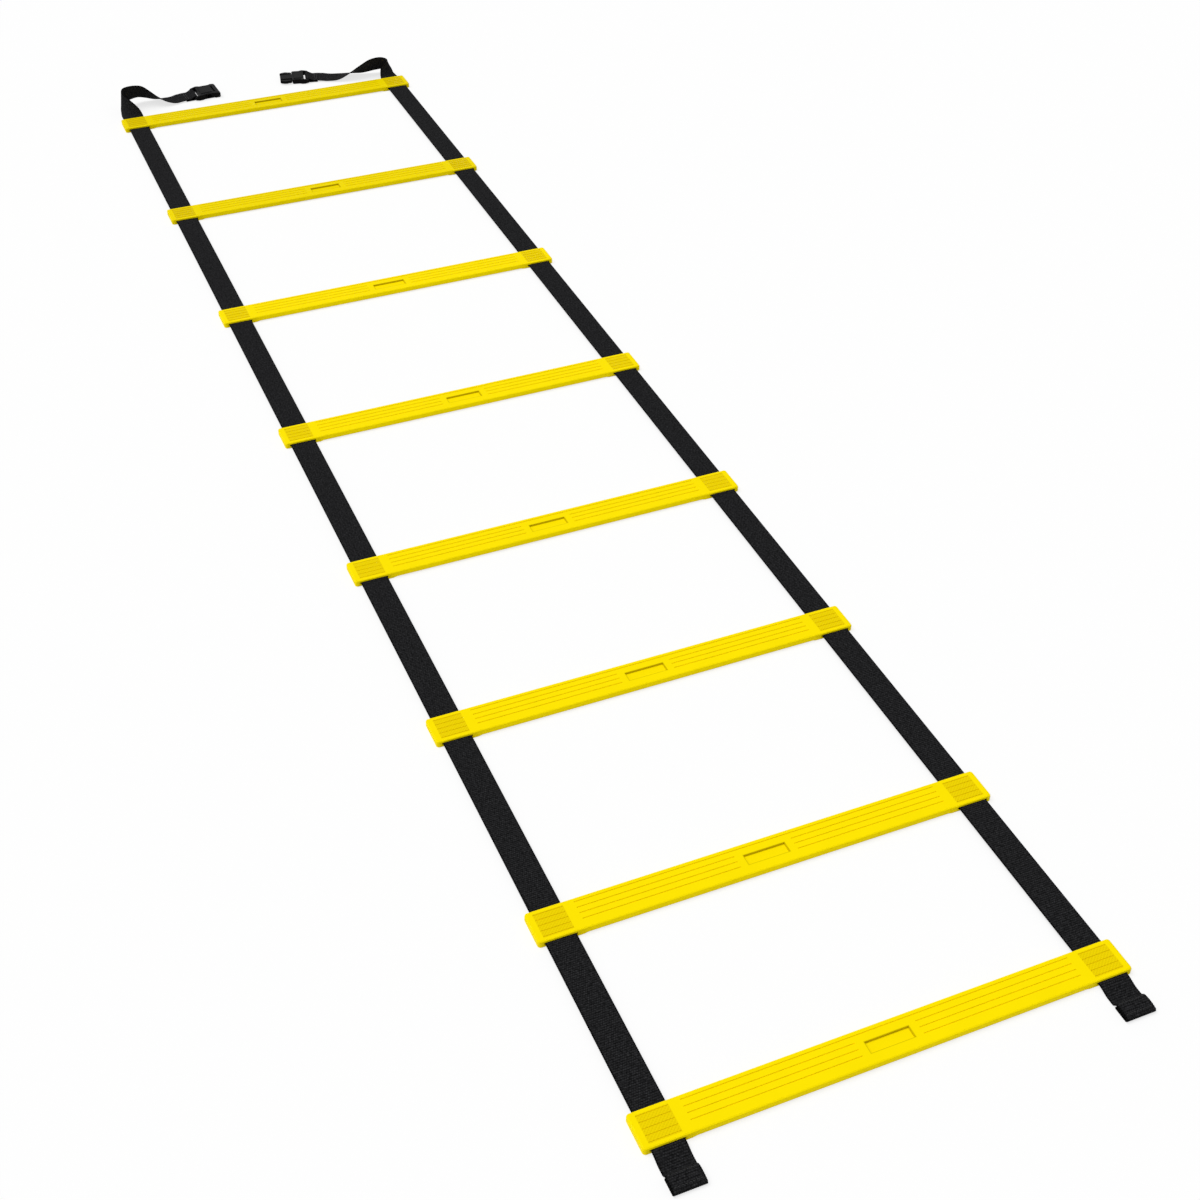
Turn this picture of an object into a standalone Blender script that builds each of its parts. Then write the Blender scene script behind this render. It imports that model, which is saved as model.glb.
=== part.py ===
"""Agility ladder: eight moulded slats threaded on two webbing straps, with a side-release buckle.

X runs along the rungs, Y along the ladder towards the buckle end, and Z up from the floor.
Each strap is cut at the middle of every bay, where it folds, so that the ladder closes like a
concertina. Rung 1 is at the buckle end.
"""
import math

import bmesh
import bpy
from mathutils import Vector

# Layout of the ladder
ladder_length = 1.9421
bay_shares = (0.16405, 0.15509, 0.15149, 0.14289, 0.13635, 0.13675, 0.11338)
strap_inset = 0.0210
origin_shift = 0.0198
running_gap = 0.0003

# Webbing
strap_width = 0.0300
strap_thickness = 0.0015
strap_edge_round = 0.0006

# Rung: a hollow moulded slat with a slot for the webbing at each end
rung_length = 0.4600
rung_width = 0.0360
rung_corner_radius = 0.0030
rung_edge_radius = 0.0016
rung_top_plate = 0.0020
rung_wall = 0.0020
rib_thickness = 0.0016
rib_cells = 10
strap_cover = 0.0021
strap_bar_height = 0.0026
strap_bar_width = 0.0060
slot_side_gap = 0.0008
foot_step = 0.0010
foot_slope = 0.0080

# Marks moulded into the rung's top
groove_width = 0.0009
groove_depth = 0.0007
groove_rows = (0.0133, 0.0066, 0.0000, -0.0067)
groove_end_gap = 0.0092
groove_break = 0.0290
panel_length = 0.0420
panel_width = 0.0118
panel_offset = -0.0011
panel_depth = 0.0020
panel_floor = 0.0013
grip_rows = (0.0126, 0.0063, 0.0000, -0.0063, -0.0126)
grip_length = 0.0285
grip_width = 0.0008
grip_depth = 0.0004

# Folds: the axis lies half a pile pitch above or below the webbing
fold_gap = 0.0007

# Hem at the near end, in distance out from rung 8 and height of the webbing's middle
hem_drop_end = 0.0340
hem_start = 0.0390
hem_rise_length = 0.0046
hem_shoulder = 0.0046
hem_bulge = 0.0008
hem_end = 0.0538
hem_turn_radius = 0.0016
hem_turn_start = 65
hem_tuck_start = 0.0439
hem_tuck_radius = 0.0009
hem_tuck_end = 0.0500
hem_steps = 6

# Tails at the far end, the outer and the inner edge of each: the way out from the strap's
# middle line, the way ahead from rung 1 and the height
left_tail = (
    ((0.0156, 0.0279, 0.0022), (-0.0123, 0.0256, 0.0114)),
    ((0.0162, 0.0391, 0.0014), (-0.0055, 0.0330, 0.0210)),
    ((0.0145, 0.0509, 0.0022), (0.0026, 0.0429, 0.0284)),
    ((0.0117, 0.0628, 0.0044), (0.0081, 0.0540, 0.0328)),
    ((0.0067, 0.0730, 0.0067), (0.0045, 0.0648, 0.0355)),
    ((-0.0042, 0.0808, 0.0082), (-0.0089, 0.0696, 0.0357)),
    ((-0.0185, 0.0860, 0.0085), (-0.0246, 0.0698, 0.0330)),
    ((-0.0323, 0.0866, 0.0055), (-0.0365, 0.0642, 0.0251)),
    ((-0.0462, 0.0847, 0.0020), (-0.0472, 0.0583, 0.0162)),
    ((-0.0603, 0.0840, 0.0013), (-0.0601, 0.0547, 0.0076)),
    ((-0.0725, 0.0845, 0.0013), (-0.0728, 0.0546, 0.0030)),
)
right_tail = (
    ((0.0147, 0.0274, 0.0020), (-0.0139, 0.0265, 0.0108)),
    ((0.0138, 0.0373, 0.0022), (-0.0104, 0.0319, 0.0192)),
    ((0.0130, 0.0467, 0.0053), (-0.0035, 0.0320, 0.0255)),
    ((0.0094, 0.0525, 0.0080), (0.0005, 0.0345, 0.0300)),
    ((-0.0014, 0.0548, 0.0066), (-0.0090, 0.0410, 0.0322)),
    ((-0.0163, 0.0581, 0.0046), (-0.0244, 0.0440, 0.0300)),
    ((-0.0340, 0.0619, 0.0018), (-0.0422, 0.0424, 0.0230)),
    ((-0.0534, 0.0680, 0.0015), (-0.0610, 0.0416, 0.0130)),
    ((-0.0725, 0.0733, 0.0013), (-0.0787, 0.0441, 0.0041)),
    ((-0.0877, 0.0783, 0.0015), (-0.0939, 0.0489, 0.0023)),
)
tail_steps = 5

# Loop of webbing round a buckle's strap bar
bar_radius = 0.0017
bar_height = 0.0038
loop_lead = 0.0240
loop_lead_level = 0.0022
loop_join = 0.0175
loop_rise = 0.0100
loop_lap = 0.0160
loop_steps = 8
left_bar_position = (-0.1065, 0.0735)
left_bar_heading = 3
right_bar_position = (-0.1240, 0.0735)
right_bar_heading = 168

# Buckle, with u forward from the strap bar, v across and z from the bar's axis
buckle_half_width = 0.0185
buckle_window = 0.0156
buckle_slot_end = 0.0062
bar_sides = 16
socket_plan = (
    (-0.0022, 0.0172),
    (-0.0010, 0.0185),
    (0.0100, 0.0185),
    (0.0140, 0.0164),
    (0.0285, 0.0164),
    (0.0315, 0.0183),
    (0.0365, 0.0183),
    (0.0388, 0.0172),
    (0.0400, 0.0140),
)
socket_profile = (
    (-0.0022, -0.0020),
    (0.0040, -0.0035),
    (0.0380, -0.0035),
    (0.0400, -0.0022),
    (0.0400, 0.0022),
    (0.0380, 0.0041),
    (0.0340, 0.0047),
    (0.0070, 0.0047),
    (-0.0010, 0.0026),
    (-0.0022, 0.0014),
)
socket_cavity_start = 0.0110
socket_cavity_half_width = 0.0147
socket_cavity_low = -0.0022
socket_cavity_high = 0.0030
side_window_start = 0.0160
side_window_end = 0.0270
top_slot_start = 0.0300
top_slot_end = 0.0325
top_slot_half_width = 0.0115
pad_height = 0.0006
pad_sink = 0.0005
pad_start = 0.0092
socket_pad_end = 0.0275
pad_half_width = 0.0118
plug_plan = (
    (-0.0022, 0.0172),
    (-0.0010, 0.0185),
    (0.0090, 0.0185),
    (0.0130, 0.0165),
    (0.0235, 0.0165),
    (0.0249, 0.0155),
    (0.0249, 0.0082),
    (0.0410, 0.0078),
    (0.0440, 0.0055),
)
plug_profile = (
    (-0.0022, -0.0020),
    (0.0040, -0.0035),
    (0.0235, -0.0035),
    (0.0249, -0.0020),
    (0.0440, -0.0012),
    (0.0440, 0.0010),
    (0.0425, 0.0026),
    (0.0249, 0.0030),
    (0.0235, 0.0040),
    (0.0070, 0.0040),
    (-0.0010, 0.0026),
    (-0.0022, 0.0014),
)
plug_pad_end = 0.0226
arm_root = 0.0278
arm_across = 0.0140
arm_root_radius = 0.0026
arm_outline = (
    (0.0278, 0.0114),
    (0.0420, 0.0112),
    (0.0438, 0.0124),
    (0.0442, 0.0140),
    (0.0425, 0.0158),
    (0.0385, 0.0176),
    (0.0350, 0.0182),
    (0.0325, 0.0180),
    (0.0310, 0.0170),
    (0.0278, 0.0166),
)
arm_low = -0.0019
arm_high = 0.0026
arm_chamfer = 0.0005
arm_root_steps = 6

# Faces and cutters
corner_steps = 4
edge_steps = 2
overshoot = 0.0010

# Values worked out from the ones above
rung_count = len(bay_shares) + 1
slot_low = strap_bar_height
slot_high = slot_low + strap_thickness + 2 * running_gap
rung_height = slot_high + strap_cover
slot_half_width = strap_width / 2 + slot_side_gap
strap_offset = rung_length / 2 - strap_inset
slot_inner = strap_offset - slot_half_width
groove_half_length = slot_inner - groove_end_gap
strap_level = slot_low + running_gap + strap_thickness / 2
fold_rise_up = rung_height - strap_level + fold_gap / 2
fold_rise_down = strap_level + fold_gap / 2
loop_radius = bar_radius + running_gap + strap_thickness / 2
lap_level = bar_height - loop_radius
join_level = lap_level + strap_thickness + running_gap
up = Vector((0, 0, 1))


def rung_position(number):
    """Y of a rung, counted from 1 at the buckle end."""
    return ladder_length / 2 - origin_shift - ladder_length * sum(bay_shares[:number - 1])


def fold_position(number):
    """Y of the fold between rung number and the next one."""
    return (rung_position(number) + rung_position(number + 1)) / 2


def fold_level(number):
    """Height of a fold's axis: under the webbing at odd folds, over it at even ones."""
    if number % 2:
        return strap_level - fold_rise_down
    return strap_level + fold_rise_up


def clear_scene():
    """Remove what the file holds at the start."""
    for item in list(bpy.data.objects):
        bpy.data.objects.remove(item, do_unlink=True)


def make_material(name, colour, roughness):
    """A Principled material with a plain colour."""
    material = bpy.data.materials.new(name)
    material.use_nodes = True
    shader = material.node_tree.nodes["Principled BSDF"]
    shader.inputs["Base Color"].default_value = (*colour, 1)
    shader.inputs["Roughness"].default_value = roughness
    shader.inputs["Metallic"].default_value = 0
    material.diffuse_color = (*colour, 1)
    return material


def make_mesh(name, points, faces):
    """A mesh with its faces turned outwards."""
    form = bmesh.new()
    corners = [form.verts.new(point) for point in points]
    for face in faces:
        form.faces.new([corners[index] for index in face])
    bmesh.ops.recalc_face_normals(form, faces=form.faces[:])
    if form.calc_volume(signed=True) < 0:
        bmesh.ops.reverse_faces(form, faces=form.faces[:])
    mesh = bpy.data.meshes.new(name)
    form.to_mesh(mesh)
    form.free()
    return mesh


def add_object(name, mesh, material, parent, location, smooth=False):
    """An object placed at a world location under its parent empty."""
    item = bpy.data.objects.new(name, mesh)
    bpy.context.scene.collection.objects.link(item)
    if not mesh.materials:
        mesh.materials.append(material)
    mesh.polygons.foreach_set("use_smooth", [smooth] * len(mesh.polygons))
    hang_on(item, parent, location)
    return item


def hang_on(item, parent, location):
    """Parent an item that stands unturned, and keep its world location."""
    item.location = location
    if parent:
        item.parent = parent
        item.location = Vector(location) - Vector(parent["world"])


def add_empty(name, parent, location):
    """An empty on a joint's axis that carries what the joint moves."""
    empty = bpy.data.objects.new(name, None)
    bpy.context.scene.collection.objects.link(empty)
    hang_on(empty, parent, location)
    empty["world"] = tuple(location)
    return empty


def loft(rings):
    """Points and faces of a closed body through rings of equal count."""
    count = len(rings[0])
    points = [point for ring in rings for point in ring]
    faces = []
    for level in range(len(rings) - 1):
        low = level * count
        for index in range(count):
            after = (index + 1) % count
            faces.append((low + index, low + after, low + count + after, low + count + index))
    faces.append(tuple(range(count))[::-1])
    faces.append(tuple(range(len(points) - count, len(points))))
    return points, faces


def prism(outline, low, high, upright=True):
    """Points and faces of an outline raised from low to high along Z, or along Y."""
    if upright:
        return loft([[(x, y, level) for x, y in outline] for level in (low, high)])
    return loft([[(x, level, z) for x, z in outline] for level in (low, high)])


def box(x_range, y_range, z_range, draft=0):
    """Points and faces of a box whose top is drawn in by the draft."""
    rings = []
    for level, inset in zip(z_range, (0, draft)):
        west, east = x_range[0] + inset, x_range[1] - inset
        south, north = y_range[0] + inset, y_range[1] - inset
        rings.append([(west, south, level), (east, south, level),
                      (east, north, level), (west, north, level)])
    return loft(rings)


def merge(shapes):
    """One list of points and faces from several separate closed shapes."""
    points, faces = [], []
    for shape_points, shape_faces in shapes:
        start = len(points)
        points.extend(shape_points)
        faces.extend([tuple(start + index for index in face) for face in shape_faces])
    return points, faces


def carve(mesh, steps):
    """The mesh after a list of Boolean steps, each an operation and a shape."""
    body = bpy.data.objects.new("blank", mesh)
    bpy.context.scene.collection.objects.link(body)
    tools = []
    for operation, shape in steps:
        tool = bpy.data.objects.new("tool", make_mesh("tool", *shape))
        bpy.context.scene.collection.objects.link(tool)
        tools.append(tool)
        change = body.modifiers.new(operation.lower(), "BOOLEAN")
        change.operation = operation
        change.solver = "EXACT"
        change.object = tool
    bpy.context.view_layer.update()
    graph = bpy.context.evaluated_depsgraph_get()
    result = bpy.data.meshes.new_from_object(body.evaluated_get(graph))
    for item in [body] + tools:
        bpy.data.objects.remove(item, do_unlink=True)
    return result


def rounded_outline(half_length, half_width, radius):
    """A rectangle with round corners, anticlockwise."""
    outline = []
    for quarter, (side_x, side_y) in enumerate(((1, 1), (-1, 1), (-1, -1), (1, -1))):
        for step in range(corner_steps + 1):
            angle = math.pi / 2 * (quarter + step / corner_steps)
            outline.append((side_x * (half_length - radius) + radius * math.cos(angle),
                            side_y * (half_width - radius) + radius * math.sin(angle)))
    return outline


def rung_blank():
    """The slat's outer form: a round-cornered bar with a rounded top edge."""
    levels = [(0, 0)]
    for step in range(edge_steps + 1):
        angle = math.pi / 2 * step / edge_steps
        levels.append((rung_height - rung_edge_radius * (1 - math.sin(angle)),
                       rung_edge_radius * (1 - math.cos(angle))))
    rings = []
    for level, inset in levels:
        outline = rounded_outline(rung_length / 2 - inset, rung_width / 2 - inset,
                                  rung_corner_radius - inset)
        rings.append([(x, y, level) for x, y in outline])
    return loft(rings)


def rung_slots():
    """The webbing slot through each end, and the raised underside between the feet."""
    reach = rung_width / 2 + overshoot
    shapes = []
    for side in (-1, 1):
        centre = side * strap_offset
        shapes.append(box((centre - slot_half_width, centre + slot_half_width),
                          (-reach, reach), (slot_low, slot_high)))
    inner = slot_inner - rung_wall
    profile = ((-inner, -overshoot), (inner, -overshoot),
               (inner - foot_slope, foot_step), (-inner + foot_slope, foot_step))
    shapes.append(prism(profile, -reach, reach, upright=False))
    return merge(shapes)


def rung_pockets():
    """Two rows of pockets between the ribs, and the window between the bars at each slot."""
    inner = slot_inner - rung_wall
    cell = (2 * inner + rib_thickness) / rib_cells
    side_wall = rung_width / 2 - rung_wall
    depth = rung_height - rung_top_plate
    shapes = []
    for column in range(rib_cells):
        west = -inner + column * cell
        for south, north in ((-side_wall, -rib_thickness / 2), (rib_thickness / 2, side_wall)):
            shapes.append(box((west, west + cell - rib_thickness), (south, north),
                              (-overshoot, depth), draft=running_gap))
    window = rung_width / 2 - strap_bar_width
    level = (slot_low + slot_high) / 2
    for side in (-1, 1):
        centre = side * strap_offset
        shapes.append(box((centre - slot_half_width, centre + slot_half_width),
                          (-window, window), (-overshoot, level)))
    return merge(shapes)


def rung_marks():
    """The long grooves, the sunk panel and the short grip grooves over the webbing."""
    shapes = []
    floor = rung_height - groove_depth
    top = rung_height + overshoot
    for index, row in enumerate(groove_rows):
        rows = (row - groove_width / 2, row + groove_width / 2)
        if index == 0:
            shapes.append(box((-groove_half_length, groove_half_length), rows, (floor, top)))
            continue
        shapes.append(box((-groove_half_length, -groove_break), rows, (floor, top)))
        shapes.append(box((groove_break, groove_half_length), rows, (floor, top)))
    shapes.append(panel_box(0, rung_height - panel_depth, top))
    for side in (-1, 1):
        west = side * strap_offset - grip_length / 2
        for row in grip_rows:
            shapes.append(box((west, west + grip_length),
                              (row - grip_width / 2, row + grip_width / 2),
                              (rung_height - grip_depth, top)))
    return merge(shapes)


def panel_box(margin, low, high):
    """A box over the sunk panel's outline, wider by a margin all round."""
    reach_x = panel_length / 2 + margin
    reach_y = panel_width / 2 + margin
    return box((-reach_x, reach_x), (panel_offset - reach_y, panel_offset + reach_y), (low, high))


def rung_mesh():
    """The moulded slat, shared by all eight rungs.

    The plate is carried down under the sunk panel, so that a floor is left below it.
    """
    blank = make_mesh("rung", *rung_blank())
    backing = panel_box(rung_wall, rung_height - panel_depth - panel_floor,
                        rung_height - rung_top_plate / 2)
    steps = (("DIFFERENCE", rung_slots()), ("DIFFERENCE", rung_pockets()), ("UNION", backing),
             ("DIFFERENCE", rung_marks()))
    return carve(blank, steps)


def smooth_route(stations, steps):
    """Points on a Catmull-Rom curve through stations, each a tuple of numbers."""
    known = [Vector(station) for station in stations]
    known = [2 * known[0] - known[1]] + known + [2 * known[-1] - known[-2]]
    route = []
    for index in range(1, len(known) - 2):
        before, start, end, after = known[index - 1:index + 3]
        for step in range(steps):
            share = step / steps
            route.append(0.5 * (2 * start + (end - before) * share
                                + (2 * before - 5 * start + 4 * end - after) * share ** 2
                                + (3 * start - before - 3 * end + after) * share ** 3))
    route.append(known[-2])
    return route


def ribbon(edges, across):
    """Webbing along an outer edge: each station has the edge's point and the way across.

    The section is a flat hexagon, and its flat stays square to the way the ribbon runs.
    """
    middles = [edge + way * strap_width / 2 for edge, way in zip(edges, across)]
    last = len(middles) - 1
    rings = []
    for index, middle in enumerate(middles):
        along = middles[min(index + 1, last)] - middles[max(index - 1, 0)]
        along.normalize()
        way = (across[index] - along * across[index].dot(along)).normalized()
        face = way.cross(along) * strap_thickness / 2
        edge = way * strap_width / 2
        flat = way * (strap_width / 2 - strap_edge_round)
        rings.append([middle - edge, middle - flat - face, middle + flat - face,
                      middle + edge, middle + flat + face, middle - flat + face])
    return loft(rings)


def tail_stations(side, table):
    """Outer edge and way across of a far tail, from the rung to the loop's lead-in."""
    start = rung_position(1)
    routes = []
    for reach, column in ((strap_width / 2, 0), (-strap_width / 2, 1)):
        x = side * (strap_offset + reach)
        rows = [(x, start + rung_width / 2 + strap_thickness, strap_level)]
        for pair in table:
            out, ahead_of_rung, level = pair[column]
            rows.append((side * (strap_offset + out), start + ahead_of_rung, level))
        bar, ahead, inward = bar_frame(side)
        rows.append(bar - ahead * loop_lead - inward * reach + up * loop_lead_level)
        routes.append(smooth_route(rows, tail_steps))
    return routes[0], [(inner - edge).normalized() for edge, inner in zip(*routes)]


def bar_frame(side):
    """Centre of a buckle's strap bar, the way its buckle points and the way inwards."""
    place, heading = (left_bar_position, left_bar_heading) if side < 0 else (
        right_bar_position, right_bar_heading)
    turn = math.radians(heading)
    ahead = Vector((math.cos(turn), math.sin(turn), 0))
    bar = Vector((side * (strap_offset + place[0]), rung_position(1) + place[1], 0))
    return bar, ahead, ahead.cross(up) * -side


def loop_stations(side):
    """The lead-in, the turn round the bar and the sewn return, as edge points."""
    bar, ahead, inward = bar_frame(side)
    rows = [(-loop_join, join_level), (-(loop_join + loop_rise) / 2, join_level),
            (-loop_rise, join_level)]
    for step in range(1, 4):
        share = step / 4
        ease = share * share * (3 - 2 * share)
        rows.append((-loop_rise * (1 - share),
                     join_level + (bar_height + loop_radius - join_level) * ease))
    for step in range(loop_steps + 1):
        angle = math.pi * (0.5 - step / loop_steps)
        rows.append((loop_radius * math.cos(angle), bar_height + loop_radius * math.sin(angle)))
    rows.append((-loop_lap / 2, lap_level))
    rows.append((-loop_lap, lap_level))
    edges = [bar + ahead * out + up * level - inward * strap_width / 2 for out, level in rows]
    return edges, [inward] * len(edges)


def strap_ends(number):
    """Y of the far and near ends of the webbing between two folds."""
    far = fold_position(number - 1) - running_gap / 2 if number > 1 else rung_position(1)
    near = fold_position(number) + running_gap / 2 if number < rung_count else rung_position(number)
    return far, near


def strap_first(side):
    """Webbing from the first fold through rung 1, out along the tail and round the bar."""
    near = strap_ends(1)[1]
    outer = side * (strap_offset + strap_width / 2)
    inward = Vector((-side, 0, 0))
    edges = [Vector((outer, near, strap_level)),
             Vector((outer, rung_position(1) + rung_width / 2, strap_level))]
    across = [inward, inward]
    table = left_tail if side < 0 else right_tail
    for part in (tail_stations(side, table), loop_stations(side)):
        edges.extend(part[0])
        across.extend(part[1])
    return ribbon(edges, across)


def arc_rows(centre, radius, start, end, reach):
    """Way out and height round an arc whose lowest point lies flat on the floor.

    The reach is 1 for a turn that bulges out and -1 for one that bulges back.
    """
    rows = []
    for step in range(loop_steps + 1):
        angle = math.radians(start + (end - start) * step / loop_steps)
        rows.append((centre + reach * radius * math.cos(angle),
                     strap_thickness / 2 + radius * (1 + math.sin(angle))))
    return rows


def hem_rows():
    """Way out from rung 8 and height of the webbing's middle, from the slot to the hem's end.

    The webbing runs down to the floor, rises over the hem and rounds its end. It comes back
    along the floor and is tucked in once more. The rises are smooth steps.
    """
    low_level = strap_thickness / 2 + running_gap
    drop_start = rung_width / 2 + strap_thickness
    shoulder = hem_start + hem_rise_length
    rows = []
    for first, last, before, after in ((drop_start, hem_drop_end, strap_level, low_level),
                                       (hem_start, shoulder, low_level, hem_shoulder)):
        for step in range(hem_steps + 1):
            share = step / hem_steps
            rows.append((first + (last - first) * share,
                         before + (after - before) * share * share * (3 - 2 * share)))
    far_centre = hem_end - hem_turn_radius - strap_thickness / 2
    far_turn = arc_rows(far_centre, hem_turn_radius, hem_turn_start, -90, 1)
    for step in range(1, hem_steps):
        share = step / hem_steps
        rows.append((shoulder + (far_turn[0][0] - shoulder) * share,
                     hem_shoulder + (far_turn[0][1] - hem_shoulder) * share
                     + hem_bulge * 4 * share * (1 - share)))
    rows.extend(far_turn)
    rows.extend(arc_rows(hem_tuck_start, hem_tuck_radius, -90, 90, -1))
    rows.append((hem_tuck_end, rows[-1][1]))
    return rows


def strap_last(side):
    """Webbing from the last fold through rung 8 to its hemmed end."""
    start = rung_position(rung_count)
    outer = side * (strap_offset + strap_width / 2)
    rows = [(start - strap_ends(rung_count)[0], strap_level)] + hem_rows()
    edges = [Vector((outer, start - out, level)) for out, level in rows]
    return ribbon(edges, [Vector((-side, 0, 0))] * len(edges))


def strap_middle(side, number):
    """A straight length of webbing between two folds."""
    far, near = strap_ends(number)
    outer = side * (strap_offset + strap_width / 2)
    edges = [Vector((outer, near, strap_level)), Vector((outer, far, strap_level))]
    return ribbon(edges, [Vector((-side, 0, 0))] * 2)


def mirrored(half):
    """A closed outline from its +v half, given as (u, v) from back to front."""
    return tuple((u, -v) for u, v in half) + tuple((u, v) for u, v in reversed(half))


def strap_bar():
    """The round bar that the webbing turns on, reaching into both side frames."""
    reach = (buckle_window + buckle_half_width) / 2
    outline = []
    for step in range(bar_sides):
        angle = 2 * math.pi * step / bar_sides
        outline.append((bar_radius * math.cos(angle), bar_radius * math.sin(angle)))
    return prism(outline, -reach, reach, upright=False)


def buckle_blank(plan, profile):
    """The form that a plan and a side profile have in common."""
    body = make_mesh("buckle", *prism(mirrored(plan), -rung_height, rung_height))
    side_view = prism(profile, -strap_width, strap_width, upright=False)
    return body, ("INTERSECT", side_view)


def strap_window():
    """The opening behind the plate that the webbing passes through."""
    return box((-bar_height, buckle_slot_end), (-buckle_window, buckle_window),
               (-rung_height, rung_height))


def raised_pad(end, top):
    """The raised rectangle on a buckle half's plate."""
    return box((pad_start, end), (-pad_half_width, pad_half_width),
               (top - pad_sink, top + pad_height), draft=pad_height / 2)


def socket_mesh():
    """The hollow half, open at its mouth, with side windows and a slot across its top."""
    blank, shaped = buckle_blank(socket_plan, socket_profile)
    reach = socket_plan[-1][0] + overshoot
    plate_top = socket_profile[7][1]
    hollow = box((socket_cavity_start, reach),
                 (-socket_cavity_half_width, socket_cavity_half_width),
                 (socket_cavity_low, socket_cavity_high))
    windows = box((side_window_start, side_window_end),
                  (-buckle_half_width - overshoot, buckle_half_width + overshoot),
                  (socket_cavity_low, socket_cavity_high))
    top_slot = box((top_slot_start, top_slot_end), (-top_slot_half_width, top_slot_half_width),
                   (0, rung_height))
    steps = (shaped, ("DIFFERENCE", strap_window()), ("DIFFERENCE", hollow),
             ("DIFFERENCE", windows), ("DIFFERENCE", top_slot), ("UNION", strap_bar()),
             ("UNION", raised_pad(socket_pad_end, plate_top)))
    return carve(blank, steps)


def plug_mesh():
    """The plug's frame: strap bar, plate and the flat guide between the arms."""
    blank, shaped = buckle_blank(plug_plan, plug_profile)
    plate_top = plug_profile[9][1]
    steps = (shaped, ("DIFFERENCE", strap_window()), ("UNION", strap_bar()),
             ("UNION", raised_pad(plug_pad_end, plate_top)))
    return carve(blank, steps)


def arm_mesh(side):
    """A sprung arm: round root, straight inner face and a barb on the outside."""
    outline = list(arm_outline)
    for step in range(1, arm_root_steps):
        angle = math.pi / 2 + math.pi * step / arm_root_steps
        outline.append((arm_root + arm_root_radius * math.cos(angle),
                        arm_across + arm_root_radius * math.sin(angle)))
    middle_u = sum(u for u, v in outline) / len(outline)
    middle_v = sum(v for u, v in outline) / len(outline)
    rings = []
    for level, inset in ((arm_low, arm_chamfer), (arm_low + arm_chamfer, 0),
                         (arm_high - arm_chamfer, 0), (arm_high, arm_chamfer)):
        ring = []
        for u, v in outline:
            out = Vector((u - middle_u, v - middle_v))
            out = out * (1 - inset / out.length)
            ring.append((middle_u + out.x - arm_root, side * (middle_v + out.y - arm_across),
                         level))
        rings.append(ring)
    return make_mesh("arm", *loft(rings))


def add_webbing(name, shape, material, parent):
    """A length of webbing, with its origin on its parent's axis."""
    origin = Vector(parent["world"])
    points, faces = shape
    mesh = make_mesh(name, [Vector(point) - origin for point in points], faces)
    return add_object(name, mesh, material, parent, origin, smooth=False)


def add_buckle(name, mesh, material, parent, turn, location):
    """A buckle piece, turned about the vertical to its heading."""
    item = add_object(name, mesh, material, parent, location)
    item.rotation_euler = (0, 0, turn)
    return item


def main():
    """Build the ladder, with one empty on every fold's axis."""
    clear_scene()
    yellow = make_material("yellow_polypropylene", (0.93, 0.66, 0.005), 0.42)
    black_webbing = make_material("black_webbing", (0.012, 0.012, 0.012), 0.85)
    black_acetal = make_material("black_acetal", (0.016, 0.016, 0.017), 0.38)

    # Panel 4 stays put, and each fold carries the panel beyond it
    panels = {4: add_empty("panel_4", None, (0, rung_position(4), strap_level))}
    for number in (3, 2, 1):
        axis = (0, fold_position(number), fold_level(number))
        panels[number] = add_empty(f"panel_{number}", panels[number + 1], axis)
    for number in range(5, rung_count + 1):
        axis = (0, fold_position(number - 1), fold_level(number - 1))
        panels[number] = add_empty(f"panel_{number}", panels[number - 1], axis)

    slat = rung_mesh()
    for number in range(1, rung_count + 1):
        add_object(f"rung_{number}", slat, yellow, panels[number],
                   (0, rung_position(number), 0))
        for side, word in ((-1, "left"), (1, "right")):
            if number == 1:
                shape = strap_first(side)
            elif number == rung_count:
                shape = strap_last(side)
            else:
                shape = strap_middle(side, number)
            add_webbing(f"strap_{word}_{number}", shape, black_webbing, panels[number])

    for side, name in ((-1, "socket"), (1, "plug")):
        bar, ahead, inward = bar_frame(side)
        turn = math.atan2(ahead.y, ahead.x)
        centre = bar + up * bar_height
        pivot = add_empty(f"{name}_pivot", panels[1], centre)
        if side < 0:
            add_buckle("buckle_socket", socket_mesh(), black_acetal, pivot, turn, centre)
            continue
        add_buckle("buckle_plug", plug_mesh(), black_acetal, pivot, turn, centre)
        for hand, word in ((1, "near"), (-1, "far")):
            across = Vector((-ahead.y, ahead.x, 0)) * hand * arm_across
            root = centre + ahead * arm_root + across
            mesh = arm_mesh(hand)
            add_buckle(f"plug_arm_{word}", mesh, black_acetal, pivot, turn, root)


main()
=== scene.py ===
"""Agility ladder: woven straps, moulded slats and a side-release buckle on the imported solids.
"""

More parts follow.
